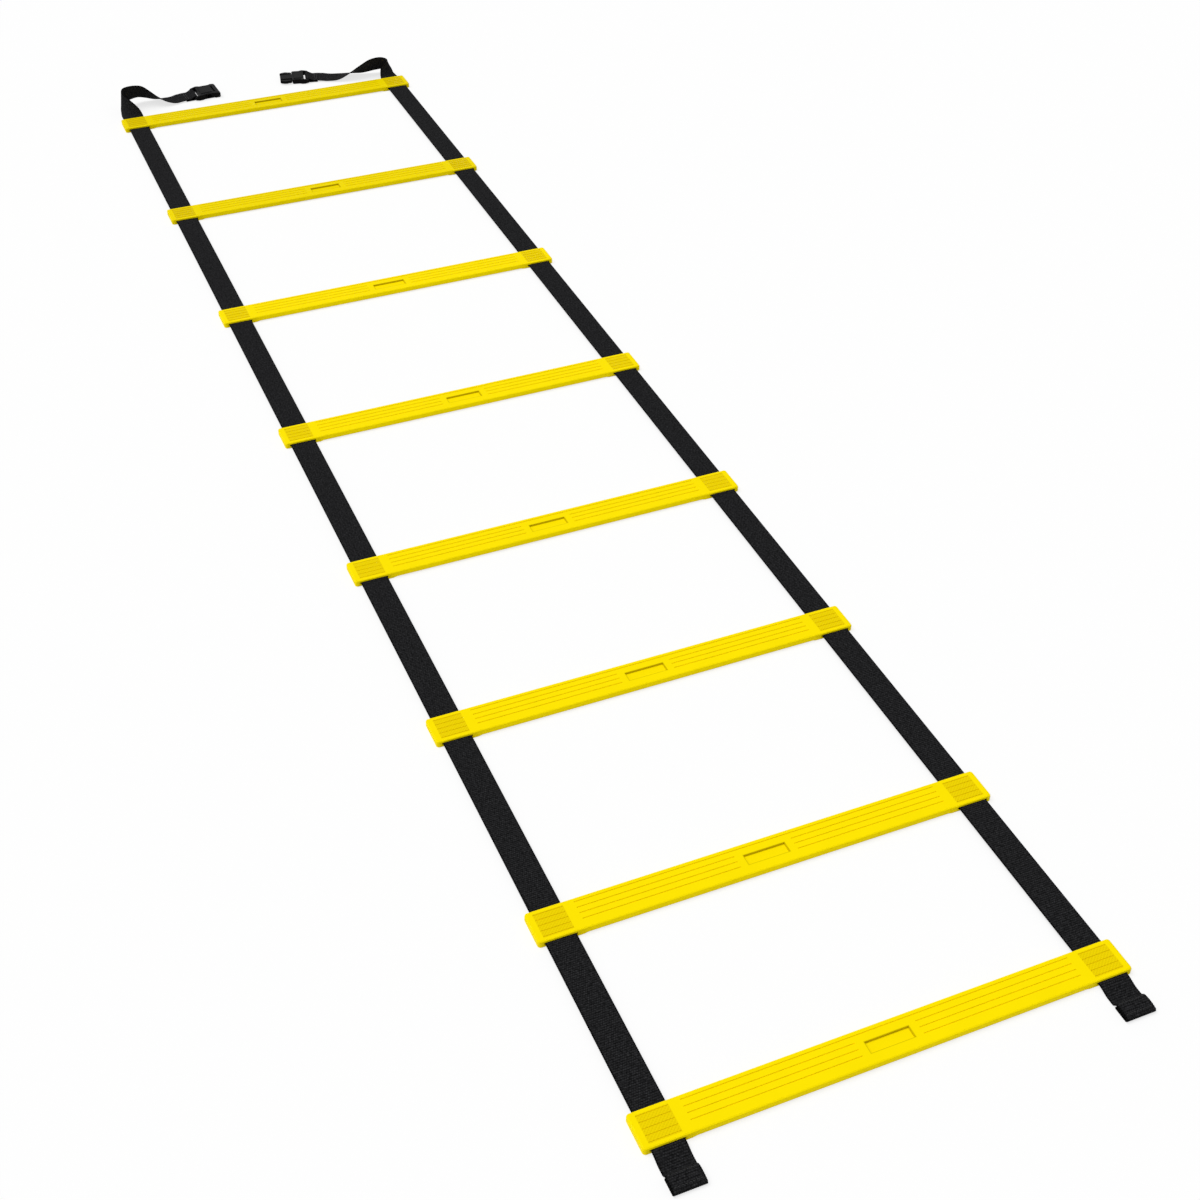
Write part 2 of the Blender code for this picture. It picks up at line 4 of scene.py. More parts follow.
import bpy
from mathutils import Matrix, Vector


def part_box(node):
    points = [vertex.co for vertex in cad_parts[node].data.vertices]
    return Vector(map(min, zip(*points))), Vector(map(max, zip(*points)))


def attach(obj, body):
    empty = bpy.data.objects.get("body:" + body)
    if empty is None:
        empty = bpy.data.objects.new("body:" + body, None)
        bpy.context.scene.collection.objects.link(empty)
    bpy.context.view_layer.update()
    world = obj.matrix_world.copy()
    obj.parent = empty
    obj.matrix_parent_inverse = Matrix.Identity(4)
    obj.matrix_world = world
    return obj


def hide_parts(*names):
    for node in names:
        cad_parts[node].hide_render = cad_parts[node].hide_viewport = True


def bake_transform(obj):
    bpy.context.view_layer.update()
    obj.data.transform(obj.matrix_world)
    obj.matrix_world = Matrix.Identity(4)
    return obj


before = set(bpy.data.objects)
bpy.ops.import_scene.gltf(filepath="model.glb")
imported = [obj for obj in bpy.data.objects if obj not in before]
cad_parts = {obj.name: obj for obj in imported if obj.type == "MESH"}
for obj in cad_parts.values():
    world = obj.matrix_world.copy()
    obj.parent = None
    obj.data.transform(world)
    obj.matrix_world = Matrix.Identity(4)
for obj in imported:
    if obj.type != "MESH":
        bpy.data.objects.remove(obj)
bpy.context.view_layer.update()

import math

import bpy
import numpy as np
from bpy.props import FloatProperty, IntProperty, PointerProperty, StringProperty

bl_info = {
    "name": "Agility Ladder",
    "version": (1, 0, 0),
    "blender": (4, 5, 0),
    "location": "3D View > Sidebar > Ladder",
    "description": "Dresses the packed agility ladder with webbing, moulded finishes and a stage",
    "category": "Object",
}

SIDE_NAMES = {-1: "left", 1: "right"}
RUNG_COUNT = 8
UP = np.array((0.0, 0.0, 1.0))


# Sizes and colours

class LadderWebbingSizes(bpy.types.PropertyGroup):
    """Sizes of the woven strap."""
    thickness: FloatProperty(
        name="Thickness", description="Thickness of the webbing over its ribs",
        default=0.0015, min=0.0008, max=0.0025, subtype="DISTANCE", unit="LENGTH")
    rib_pitch: FloatProperty(
        name="Rib pitch", description="Distance from one weft rib to the next",
        default=0.00227, min=0.0008, max=0.004, subtype="DISTANCE", unit="LENGTH")
    rib_depth: FloatProperty(
        name="Rib depth", description="Depth of the valleys between the ribs on each face",
        default=0.00022, min=0.0, max=0.0005, subtype="DISTANCE", unit="LENGTH")
    edge_scallop: FloatProperty(
        name="Selvedge scallop", description="How far the weft pulls the edge in at each valley",
        default=0.00020, min=0.0, max=0.0005, subtype="DISTANCE", unit="LENGTH")
    yarn_pitch: FloatProperty(
        name="Yarn pitch", description="Distance between neighbouring warp yarns",
        default=0.00100, min=0.0006, max=0.004, subtype="DISTANCE", unit="LENGTH")
    rib_samples: IntProperty(
        name="Samples to a rib", description="Rows of faces along one rib",
        default=4, min=3, max=8)
    fold_reach: FloatProperty(
        name="Fold reach", description="Length of webbing on each side of a fold that bends",
        default=0.0085, min=0.004, max=0.02, subtype="DISTANCE", unit="LENGTH")


class LadderThreadSizes(bpy.types.PropertyGroup):
    """Sizes of the sewing."""
    diameter: FloatProperty(
        name="Thread", description="Diameter of the sewing thread",
        default=0.0005, min=0.0002, max=0.001, subtype="DISTANCE", unit="LENGTH")
    stitch: FloatProperty(
        name="Stitch length", description="Length of one stitch",
        default=0.0026, min=0.001, max=0.006, subtype="DISTANCE", unit="LENGTH")
    gap: FloatProperty(
        name="Stitch gap", description="Gap where the thread goes down between two stitches",
        default=0.0004, min=0.0001, max=0.002, subtype="DISTANCE", unit="LENGTH")


class LadderColours(bpy.types.PropertyGroup):
    """Colours as sRGB hex values."""
    slat: StringProperty(
        name="Slat", description="Moulded yellow of the slats", default="FFE600")
    slat_shade: StringProperty(
        name="Slat shade", description="Yellow where the thin plate lies over black webbing",
        default="F1D500")
    webbing: StringProperty(
        name="Webbing", description="Black of the woven straps", default="19191A")
    thread: StringProperty(
        name="Thread", description="Black of the sewing thread", default="141416")
    buckle: StringProperty(
        name="Buckle", description="Black of the moulded buckle", default="0E0E0F")
    floor: StringProperty(
        name="Floor", description="Pale floor and backdrop", default="FCFCFC")


class LadderStageSizes(bpy.types.PropertyGroup):
    """Light, floor and camera."""
    floor_reach: FloatProperty(
        name="Floor reach", description="Half the side of the square floor",
        default=14.0, min=4.0, max=40.0, subtype="DISTANCE", unit="LENGTH")
    key_strength: FloatProperty(
        name="Key light", description="Strength of the wide soft key light",
        default=2.02, min=0.0, max=10.0)
    key_spread: FloatProperty(
        name="Key spread", description="Angle that the key light spans, as a large softbox does",
        default=math.radians(50), min=0.0, max=math.pi, subtype="ANGLE", unit="ROTATION")
    sky_strength: FloatProperty(
        name="Sky light", description="Strength of the even light from all round",
        default=0.42, min=0.0, max=5.0)
    floor_lift: FloatProperty(
        name="Floor lift", description="Share of the floor's look that comes from its own white",
        default=0.72, min=0.0, max=1.0)
    lens: FloatProperty(
        name="Lens", description="Focal length on a 36 mm sensor",
        default=53.13, min=10.0, max=300.0)


# Curves and grids

def smoothstep(value):
    """Three times the square less twice the cube of the value, held between nought and one."""
    value = np.clip(value, 0, 1)
    return value * value * (3 - 2 * value)


def catmull_rom(stations, steps):
    """Points on a curve through all stations, each segment cut into equal steps.

    A segment from P1 to P2 with neighbours P0 and P3 is half of 2 P1 + (P2 - P0) t
    + (2 P0 - 5 P1 + 4 P2 - P3) t squared + (3 P1 - P0 - 3 P2 + P3) t cubed.
    """
    known = np.asarray(stations, float)
    known = np.vstack((2 * known[0] - known[1], known, 2 * known[-1] - known[-2]))
    before, start, end, after = known[:-3], known[1:-2], known[2:-1], known[3:]
    share = (np.arange(steps) / steps)[None, :, None]
    before, start, end, after = (part[:, None, :] for part in (before, start, end, after))
    route = 0.5 * (2 * start + (end - before) * share
                   + (2 * before - 5 * start + 4 * end - after) * share ** 2
                   + (3 * start - before - 3 * end + after) * share ** 3)
    return np.vstack((route.reshape(-1, known.shape[1]), known[-2]))


def distances(points):
    """Running length of a polyline at each of its points."""
    return np.concatenate(([0], np.cumsum(np.linalg.norm(np.diff(points, axis=0), axis=1))))


def unit(vectors):
    """Vectors divided by their own lengths."""
    return vectors / np.linalg.norm(vectors, axis=-1, keepdims=True)


def half_turn(centre, radius, count):
    """Points round half a circle, from its top, ahead of its centre, to its bottom."""
    angle = math.pi * (0.5 - np.arange(count + 1) / count)
    return np.column_stack((centre[0] + radius * np.cos(angle),
                            centre[1] + radius * np.sin(angle)))


def grid_mesh(name, rings, marks):
    """A closed body from an array of rings, with end caps and a weave attribute.

    rings has the shape (rows, columns, 3). Face k of row r joins columns k and k + 1 of rows
    r and r + 1, columns wrap round, and each end is closed by one polygon.
    """
    rows, columns = rings.shape[:2]
    index = np.arange(rows * columns).reshape(rows, columns)
    after = np.roll(index, -1, axis=1)
    quads = np.stack((index[:-1], after[:-1], after[1:], index[1:]), axis=-1).reshape(-1, 4)
    caps = np.concatenate((index[0, ::-1], index[-1]))
    mesh = bpy.data.meshes.new(name)
    mesh.vertices.add(rows * columns)
    mesh.vertices.foreach_set("co", rings.astype(np.float32).ravel())
    mesh.loops.add(quads.size + caps.size)
    mesh.loops.foreach_set("vertex_index", np.concatenate((quads.ravel(), caps)).astype(np.int32))
    sizes = np.concatenate((np.full(len(quads), 4), (columns, columns)))
    starts = np.concatenate(([0], np.cumsum(sizes)[:-1]))
    mesh.polygons.add(len(sizes))
    mesh.polygons.foreach_set("loop_start", starts.astype(np.int32))
    smooth = np.ones(len(sizes), bool)
    smooth[-2:] = False
    mesh.update(calc_edges=True)
    mesh.polygons.foreach_set("use_smooth", smooth)
    weave = mesh.attributes.new("weave", "FLOAT_VECTOR", "POINT")
    weave.data.foreach_set("vector", marks.astype(np.float32).ravel())
    mesh.validate()
    return mesh


def add_piece(name, mesh, material):
    """A finished piece at the origin, with its place in its mesh."""
    mesh.materials.append(material)
    piece = bpy.data.objects.new(name, mesh)
    bpy.context.scene.collection.objects.link(piece)
    return piece


# Layout read from the frame

def rung_place(number):
    """Y of a rung's middle."""
    low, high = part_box(f"rung_{number}")
    return (low.y + high.y) / 2


def strap_line():
    """The strap's width, its middle's distance from the ladder's middle, and its height."""
    low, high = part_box("strap_right_4")
    return high.x - low.x, (low.x + high.x) / 2, (low.z + high.z) / 2


# Webbing

# Steps round the half circle at each edge
EDGE_STEPS = 4
# The cosine at which a warp yarn's crown starts to rise and is full, and the weft's height
CROWN_START = -0.6
CROWN_FULL = 0.9
WEFT_HEIGHT = 0.7
# Points of the section above this share of its half height have the weave of the top face
TOP_SHARE = 0.9
# The first and the last row of faces are at least this share of a full one
SHORTEST_ROW = 0.3


def webbing_section(width, sizes):
    """Place across and share of height of a flat section with round edges.

    The top runs from the outer to the inner edge in halves of a yarn, the bottom back again
    in steps of two yarns, and between them each edge is half a circle as high as the webbing
    is thick.
    """
    radius = sizes.thickness / 2
    flat = width / 2 - radius
    fine = np.linspace(-flat, flat, 4 * int(round(flat / sizes.yarn_pitch)) + 1)
    coarse = np.linspace(flat, -flat, int(round(flat / sizes.yarn_pitch)) + 1)
    turn = math.pi * np.arange(1, EDGE_STEPS) / EDGE_STEPS
    across = np.concatenate((fine, flat + radius * np.sin(turn),
                             coarse, -flat - radius * np.sin(turn)))
    height = np.concatenate((np.full(fine.size, 1.0), np.cos(turn),
                             np.full(coarse.size, -1.0), -np.cos(turn)))
    return across, height


def weave_relief(place, along, sizes):
    """Height of the plain weave's top face, from nought in its valleys to one on its crowns.

    A warp yarn is a column that rises and falls with the cosine of the distance along over
    two ribs, each column half a period after its neighbour, and falls to nought at its sides
    as the sine does. Between the crowns the weft shows, as ribs that are nearly as high.
    """
    column = np.floor(place / sizes.yarn_pitch)
    wave = np.cos(math.pi * along / sizes.rib_pitch + math.pi * column)
    crown = (smoothstep((wave - CROWN_START) / (CROWN_FULL - CROWN_START))
             * np.abs(np.sin(math.pi * place / sizes.yarn_pitch)))
    rib = WEFT_HEIGHT * (0.5 + 0.5 * np.cos(2 * math.pi * along / sizes.rib_pitch))
    return np.maximum(crown, rib)


def webbing_rings(middle, across, lift, along, sizes, width):
    """Rings of woven webbing round a route.

    A point is middle + a times across + h times lift, where a is its place across the section
    and h its height. The top is lowered by the rib depth where the weave has its valleys. The
    underside takes plain ribs, half a pitch later, and the edge is pulled in at each valley.
    """
    section_a, section_h = webbing_section(width, sizes)
    place = np.broadcast_to(section_a, (len(along), section_a.size))
    run = along[:, None]
    valley = 0.5 - 0.5 * np.cos(2 * math.pi * run / sizes.rib_pitch)
    inside = np.clip((width / 2 - sizes.thickness - np.abs(place)) / sizes.thickness + 1, 0, 1)
    top = 1 - inside * (1 - weave_relief(place, run, sizes)) - (1 - inside) * valley
    share = (section_h + 1) / 2
    depth = sizes.rib_depth * (share * (1 - top) + (1 - share) * (1 - valley))
    height = section_h * (sizes.thickness / 2 - depth)
    edge = np.abs(section_a) > width / 2 - sizes.thickness
    place = place * (1 - edge * 2 * sizes.edge_scallop / width * valley)
    rings = (middle[:, None, :] + across[:, None, :] * place[:, :, None]
             + lift[:, None, :] * height[:, :, None])
    marks = np.zeros(rings.shape)
    marks[..., 0] = section_a
    marks[..., 1] = run
    marks[..., 2] = np.where(section_h > TOP_SHARE, top, 1 - valley)
    return rings, marks


def ribbon_piece(name, outer, across, start, sizes, width, facing, material):
    """Webbing along a route given by its outer edge and the way across.

    Rows stand at whole shares of a rib, so that every crown and valley is met. The lift is the
    way across crossed with the way along, times facing, and start is the distance along at the
    first point.
    """
    middle = outer + across * (width / 2)
    length = distances(middle)
    step = sizes.rib_pitch / sizes.rib_samples
    whole = np.arange(math.ceil(start / step), math.floor((start + length[-1]) / step) + 1) * step
    run = whole - start
    least = SHORTEST_ROW * step
    run = run[(run > least) & (run < length[-1] - least)]
    run = np.concatenate(([0], run, [length[-1]]))
    middle = np.column_stack([np.interp(run, length, middle[:, axis]) for axis in range(3)])
    across = np.column_stack([np.interp(run, length, across[:, axis]) for axis in range(3)])
    forward = unit(np.gradient(middle, run, axis=0))
    across = unit(across - forward * np.sum(across * forward, axis=1, keepdims=True))
    lift = np.cross(across, forward) * facing
    rings, marks = webbing_rings(middle, across, lift, start + run, sizes, width)
    mesh = grid_mesh(name, rings, marks)
    outward(mesh)
    return add_piece(name, mesh, material)


def outward(mesh):
    """Turn the faces of a closed mesh outwards, by the sign of its volume.

    The volume is a sixth of the sum, over triangles, of a . (b x c).
    """
    mesh.calc_loop_triangles()
    corners = np.zeros(len(mesh.loop_triangles) * 3, np.int32)
    mesh.loop_triangles.foreach_get("vertices", corners)
    points = np.zeros(len(mesh.vertices) * 3, np.float32)
    mesh.vertices.foreach_get("co", points)
    triangle = points.reshape(-1, 3).astype(float)[corners.reshape(-1, 3)]
    triangle = triangle - triangle.reshape(-1, 3).mean(0)
    volume = np.sum(triangle[:, 0] * np.cross(triangle[:, 1], triangle[:, 2]))
    if volume < 0:
        mesh.flip_normals()


def bay_webbing(side, number, sizes, material):
    """Straight webbing from the middle of one rung to the middle of the next.

    It is flat at the height of the slots.
    """
    width, offset, level = strap_line()
    word = SIDE_NAMES[side]
    near, far = rung_place(number + 1), rung_place(number)
    outer = np.array([[side * (offset + width / 2), y, level] for y in (near, far)])
    across = np.repeat([[-side, 0.0, 0.0]], 2, axis=0)
    piece = ribbon_piece(f"webbing_{word}_bay_{number}", outer, across, near, sizes, width,
                         -side, material)
    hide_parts(f"strap_{word}_{number}", f"strap_{word}_{number + 1}")
    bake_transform(piece)


# The route of each far tail: outer and inner edge, as the way out from the strap's middle line,
# the way ahead from rung 1 and the height
TAILS = {
    -1: (
        ((0.0156, 0.0279, 0.0022), (-0.0123, 0.0256, 0.0114)),
        ((0.0162, 0.0391, 0.0014), (-0.0055, 0.0330, 0.0210)),
        ((0.0145, 0.0509, 0.0022), (0.0026, 0.0429, 0.0284)),
        ((0.0117, 0.0628, 0.0044), (0.0081, 0.0540, 0.0328)),
        ((0.0067, 0.0730, 0.0067), (0.0045, 0.0648, 0.0355)),
        ((-0.0042, 0.0808, 0.0082), (-0.0089, 0.0696, 0.0357)),
        ((-0.0185, 0.0860, 0.0085), (-0.0246, 0.0698, 0.0330)),
        ((-0.0323, 0.0866, 0.0055), (-0.0365, 0.0642, 0.0251)),
        ((-0.0462, 0.0847, 0.0020), (-0.0472, 0.0583, 0.0162)),
        ((-0.0603, 0.0840, 0.0013), (-0.0601, 0.0547, 0.0076)),
        ((-0.0725, 0.0845, 0.0013), (-0.0728, 0.0546, 0.0030)),
    ),
    1: (
        ((0.0147, 0.0274, 0.0020), (-0.0139, 0.0265, 0.0108)),
        ((0.0138, 0.0373, 0.0022), (-0.0104, 0.0319, 0.0192)),
        ((0.0130, 0.0467, 0.0053), (-0.0035, 0.0320, 0.0255)),
        ((0.0094, 0.0525, 0.0080), (0.0005, 0.0345, 0.0300)),
        ((-0.0014, 0.0548, 0.0066), (-0.0090, 0.0410, 0.0322)),
        ((-0.0163, 0.0581, 0.0046), (-0.0244, 0.0440, 0.0300)),
        ((-0.0340, 0.0619, 0.0018), (-0.0422, 0.0424, 0.0230)),
        ((-0.0534, 0.0680, 0.0015), (-0.0610, 0.0416, 0.0130)),
        ((-0.0725, 0.0733, 0.0013), (-0.0787, 0.0441, 0.0041)),
        ((-0.0877, 0.0783, 0.0015), (-0.0939, 0.0489, 0.0023)),
    ),
}
# Each strap bar: the way out from the strap's middle line, the way ahead from rung 1 and the
# heading in degrees
BARS = {-1: (-0.1065, 0.0735, 3), 1: (-0.1240, 0.0735, 168)}
# The loop round a strap bar: heights of the bar and of the webbing's middle
BAR_HEIGHT = 0.0038
LAP_LEVEL = 0.00105
JOIN_LEVEL = 0.00285
LOOP_LEAD_LEVEL = 0.0022
# Its radius, and how far back from the bar it leads in, joins, rises and laps
LOOP_RADIUS = 0.00275
LOOP_LEAD = 0.0240
LOOP_JOIN = 0.0175
LOOP_RISE = 0.0100
LOOP_LAP = 0.0160
# Steps between two stations of a tail, up the loop's rise and round its half turn
TAIL_STEPS = 24
RISE_STEPS = 12
LOOP_STEPS = 24


def bar_frame(side):
    """Centre of a buckle's strap bar on the floor, the way its buckle points and inwards."""
    offset = strap_line()[1]
    out, ahead_of_rung, heading = BARS[side]
    turn = math.radians(heading)
    ahead = np.array((math.cos(turn), math.sin(turn), 0.0))
    bar = np.array((side * (offset + out), rung_place(1) + ahead_of_rung, 0.0))
    return bar, ahead, np.cross(ahead, UP) * -side


def loop_profile():
    """Way ahead of the strap bar and height along the sewn loop, from its lead-in to its end.

    Flat, up in a smooth step to the top of the half turn round the bar, and back under it.
    """
    share = np.linspace(0, 1, RISE_STEPS + 1)[1:-1]
    rise = np.column_stack((-LOOP_RISE * (1 - share),
                            JOIN_LEVEL + (BAR_HEIGHT + LOOP_RADIUS - JOIN_LEVEL)
                            * smoothstep(share)))
    flat = [(-LOOP_JOIN, JOIN_LEVEL), (-(LOOP_JOIN + LOOP_RISE) / 2, JOIN_LEVEL),
            (-LOOP_RISE, JOIN_LEVEL)]
    turn = half_turn((0, BAR_HEIGHT), LOOP_RADIUS, LOOP_STEPS)
    back = [(-LOOP_LAP / 2, LAP_LEVEL), (-LOOP_LAP, LAP_LEVEL)]
    return np.vstack((flat, rise, turn, back))


def tail_webbing(side, sizes, material):
    """Webbing from the middle of rung 1, out along the banked tail and round the strap bar.

    Both edges are curves through their stations, and the ribbon lies between them.
    """
    width, offset, level = strap_line()
    word = SIDE_NAMES[side]
    start = rung_place(1)
    half = rung_half_width()
    bar, ahead, inward = bar_frame(side)
    routes = []
    for reach, column in ((width / 2, 0), (-width / 2, 1)):
        rows = [(side * (offset + reach), start + half + sizes.thickness, level)]
        for pair in TAILS[side]:
            out, forward, height = pair[column]
            rows.append((side * (offset + out), start + forward, height))
        rows.append(bar - ahead * LOOP_LEAD - inward * reach + UP * LOOP_LEAD_LEVEL)
        routes.append(catmull_rom(rows, TAIL_STEPS))
    outer, inner = routes
    across = unit(inner - outer)
    slot = np.array([(side * (offset + width / 2), start + share * half, level)
                     for share in (0, 0.5, 1)])
    profile = loop_profile()
    loop = (bar + profile[:, :1] * ahead + profile[:, 1:] * UP - inward * width / 2)
    outer = np.vstack((slot, outer, loop))
    across = np.vstack((np.repeat([[-side, 0.0, 0.0]], len(slot), axis=0), across,
                        np.repeat([inward], len(loop), axis=0)))
    piece = ribbon_piece(f"webbing_{word}_tail", outer, across, start, sizes, width, -side,
                         material)
    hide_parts(f"strap_{word}_1")
    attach(piece, "panel_1")


def rung_half_width():
    """Half the slat's width, from its solid."""
    low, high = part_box("rung_4")
    return (high.y - low.y) / 2


# The hem, in distance out from rung 8, height of the webbing's middle and an angle in degrees
HEM_DROP_END = 0.0340
HEM_START = 0.0396
HEM_RISE = 0.0046
HEM_SHOULDER = 0.0047
HEM_BULGE = 0.0008
HEM_END = 0.0600
HEM_RADIUS = 0.0018
HEM_TURN_START = 65
TUCK_START = 0.0445
TUCK_RADIUS = 0.0009
TUCK_END = 0.0556
FLOOR_GAP = 0.0003
# Points along each smooth step and round each arc
HEM_POINTS = 25
ARC_POINTS = 17


def floor_arc(centre, radius, thickness, start, end, reach):
    """Points round an arc whose lowest point lies flat on the floor, out for reach 1."""
    angle = np.radians(np.linspace(start, end, ARC_POINTS))
    return np.column_stack((centre + reach * radius * np.cos(angle),
                            thickness / 2 + radius * (1 + np.sin(angle))))


def hem_profile(level, thickness, half):
    """Way out from rung 8 and height along the near end.

    Flat in the slot, down to the floor and up over the hem, each in a smooth step, over a
    crest that adds four times the bulge times s (1 - s), round the end, back along the floor
    and tucked in once more.
    """
    low = thickness / 2 + FLOOR_GAP
    share = np.linspace(0, 1, HEM_POINTS)
    drop_start, shoulder = half + thickness, HEM_START + HEM_RISE
    drop = np.column_stack((drop_start + (HEM_DROP_END - drop_start) * share,
                            level + (low - level) * smoothstep(share)))
    rise = np.column_stack((HEM_START + HEM_RISE * share,
                            low + (HEM_SHOULDER - low) * smoothstep(share)))
    turn = floor_arc(HEM_END - HEM_RADIUS - thickness / 2, HEM_RADIUS, thickness,
                     HEM_TURN_START, -90, 1)
    share = share[1:-1]
    crest = np.column_stack((shoulder + (turn[0, 0] - shoulder) * share,
                             HEM_SHOULDER + (turn[0, 1] - HEM_SHOULDER) * share
                             + HEM_BULGE * 4 * share * (1 - share)))
    tuck = floor_arc(TUCK_START, TUCK_RADIUS, thickness, -90, 90, -1)
    return np.vstack(([(0, level)], drop, rise, crest, turn, tuck, [(TUCK_END, tuck[-1, 1])]))


def hem_webbing(side, sizes, material):
    """Webbing from the middle of rung 8 to its hemmed end."""
    width, offset, level = strap_line()
    word = SIDE_NAMES[side]
    start = rung_place(RUNG_COUNT)
    profile = hem_profile(level, sizes.thickness, rung_half_width())
    outer = np.column_stack((np.full(len(profile), side * (offset + width / 2)),
                             start - profile[:, 0], profile[:, 1]))
    across = np.repeat([[-side, 0.0, 0.0]], len(outer), axis=0)
    piece = ribbon_piece(f"webbing_{word}_hem", outer, across, -start, sizes, width, side,
                         material)
    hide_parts(f"strap_{word}_{RUNG_COUNT}")
    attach(piece, f"panel_{RUNG_COUNT}")


# Stitches

# A stitch's rise as a share of the thread's diameter, its rings and the sides of its section
STITCH_RISE = 0.75
STITCH_RINGS = 7
THREAD_SIDES = 6
# Rows end this far in from the webbing's edges, and cross the loop this far behind the bar
ROW_INSET = 0.0020
LOOP_ROWS = (0.0118, 0.0150)


def stitch_rows(places, along, up, thread, name):
    """One mesh of equal stitches, each a half ellipse of thread on the cloth.

    Ring i of a stitch is at x = -half length x cos(angle), z = rise x sin(angle), and its
    round section is turned with the curve.
    """
    half, radius = thread.stitch / 2, thread.diameter / 2
    rise = thread.diameter * STITCH_RISE
    angle = np.linspace(0, math.pi, STITCH_RINGS)
    centre = np.column_stack((-half * np.cos(angle), rise * np.sin(angle)))
    slope = unit(np.column_stack((half * np.sin(angle), rise * np.cos(angle))))
    turn = np.arange(THREAD_SIDES) / THREAD_SIDES * 2 * math.pi
    side_way = unit(np.cross(up, along))
    normal = np.column_stack((-slope[:, 1], slope[:, 0]))
    ring_x = centre[:, None, 0] + radius * np.cos(turn)[None, :] * normal[:, None, 0]
    ring_z = centre[:, None, 1] + radius * np.cos(turn)[None, :] * normal[:, None, 1]
    ring_y = np.repeat((radius * np.sin(turn))[None, :], STITCH_RINGS, axis=0)
    shape = (ring_x[..., None] * along + ring_y[..., None] * side_way + ring_z[..., None] * up)
    shape = shape.reshape(-1, 3)
    count = len(shape)
    index = np.arange(count).reshape(STITCH_RINGS, THREAD_SIDES)
    after = np.roll(index, -1, axis=1)
    quads = np.stack((index[:-1], after[:-1], after[1:], index[1:]), axis=-1).reshape(-1, 4)
    places = np.asarray(places)
    points = (places[:, None, :] + shape[None]).reshape(-1, 3)
    shift = (np.arange(len(places)) * count)[:, None, None]
    faces = [tuple(face) for face in (quads[None] + shift).reshape(-1, 4).tolist()]
    caps = np.stack((index[0, ::-1], index[-1]))
    faces += [tuple(face) for face in (caps[None] + shift).reshape(-1, THREAD_SIDES).tolist()]
    mesh = bpy.data.meshes.new(name)
    mesh.from_pydata(points.tolist(), [], faces)
    mesh.polygons.foreach_set("use_smooth", [True] * len(mesh.polygons))
    outward(mesh)
    return mesh


def line_of_places(start, end, pitch):
    """Centres of stitches spread evenly between two points."""
    start, end = np.asarray(start, float), np.asarray(end, float)
    count = max(1, int(np.linalg.norm(end - start) / pitch))
    share = (np.arange(count) + 0.5) / count
    return start + (end - start) * share[:, None]


def sew(name, rows, along, up, thread, material, body):
    """Rows of stitches in one piece that rides on a body."""
    pitch = thread.stitch + thread.gap
    places = np.vstack([line_of_places(start, end, pitch) for start, end in rows])
    mesh = stitch_rows(places, np.asarray(along, float), np.asarray(up, float), thread, name)
    piece = add_piece(name, mesh, material)
    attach(piece, body)


# Materials

def linear(hex_colour):
    """Linear RGBA from an sRGB hex value."""
    parts = [int(hex_colour[place:place + 2], 16) / 255 for place in (0, 2, 4)]
    parts = [part / 12.92 if part <= 0.04045 else ((part + 0.055) / 1.055) ** 2.4
             for part in parts]
    return (*parts, 1.0)


def tinted(colour, share):
    """A linear colour at a share of its strength, with its alpha kept."""
    return tuple(np.array(colour) * (share, share, share, 1))


def add_node(tree, kind, settings=(), inputs=()):
    """A node with its properties set, and its inputs given values or linked to sockets."""
    node = tree.nodes.new(kind)
    for key, value in dict(settings).items():
        setattr(node, key, value)
    for key, value in dict(inputs).items():
        if isinstance(value, bpy.types.NodeSocket):
            tree.links.new(value, node.inputs[key])
        else:
            node.inputs[key].default_value = value
    return node


def blank_material(name):
    """A material with its shader and tree, ready for nodes."""
    material = bpy.data.materials.new(name)
    material.use_nodes = True
    return material, material.node_tree, material.node_tree.nodes["Principled BSDF"]


# Worn spots, painted glints that light some yarns and darken others, and filaments of about 0.1
# mm, drawn at 0.25 mm to show
WEAR_SPOT = 0.006
GLINT_SPOT = 0.002
FILAMENT_SPOT = 0.00025
FILAMENT_DEPTH = 0.00006
# Painted shade in the valleys and painted highlight on the crowns of the weave, as shares of the
# webbing's colour
VALLEY_SHADE = 0.1
CROWN_HIGHLIGHT = 2.7
# Painted shade darkens the webbing's edges between these distances from its middle
EDGE_SHADE_START = 0.0134
EDGE_SHADE_END = 0.0142


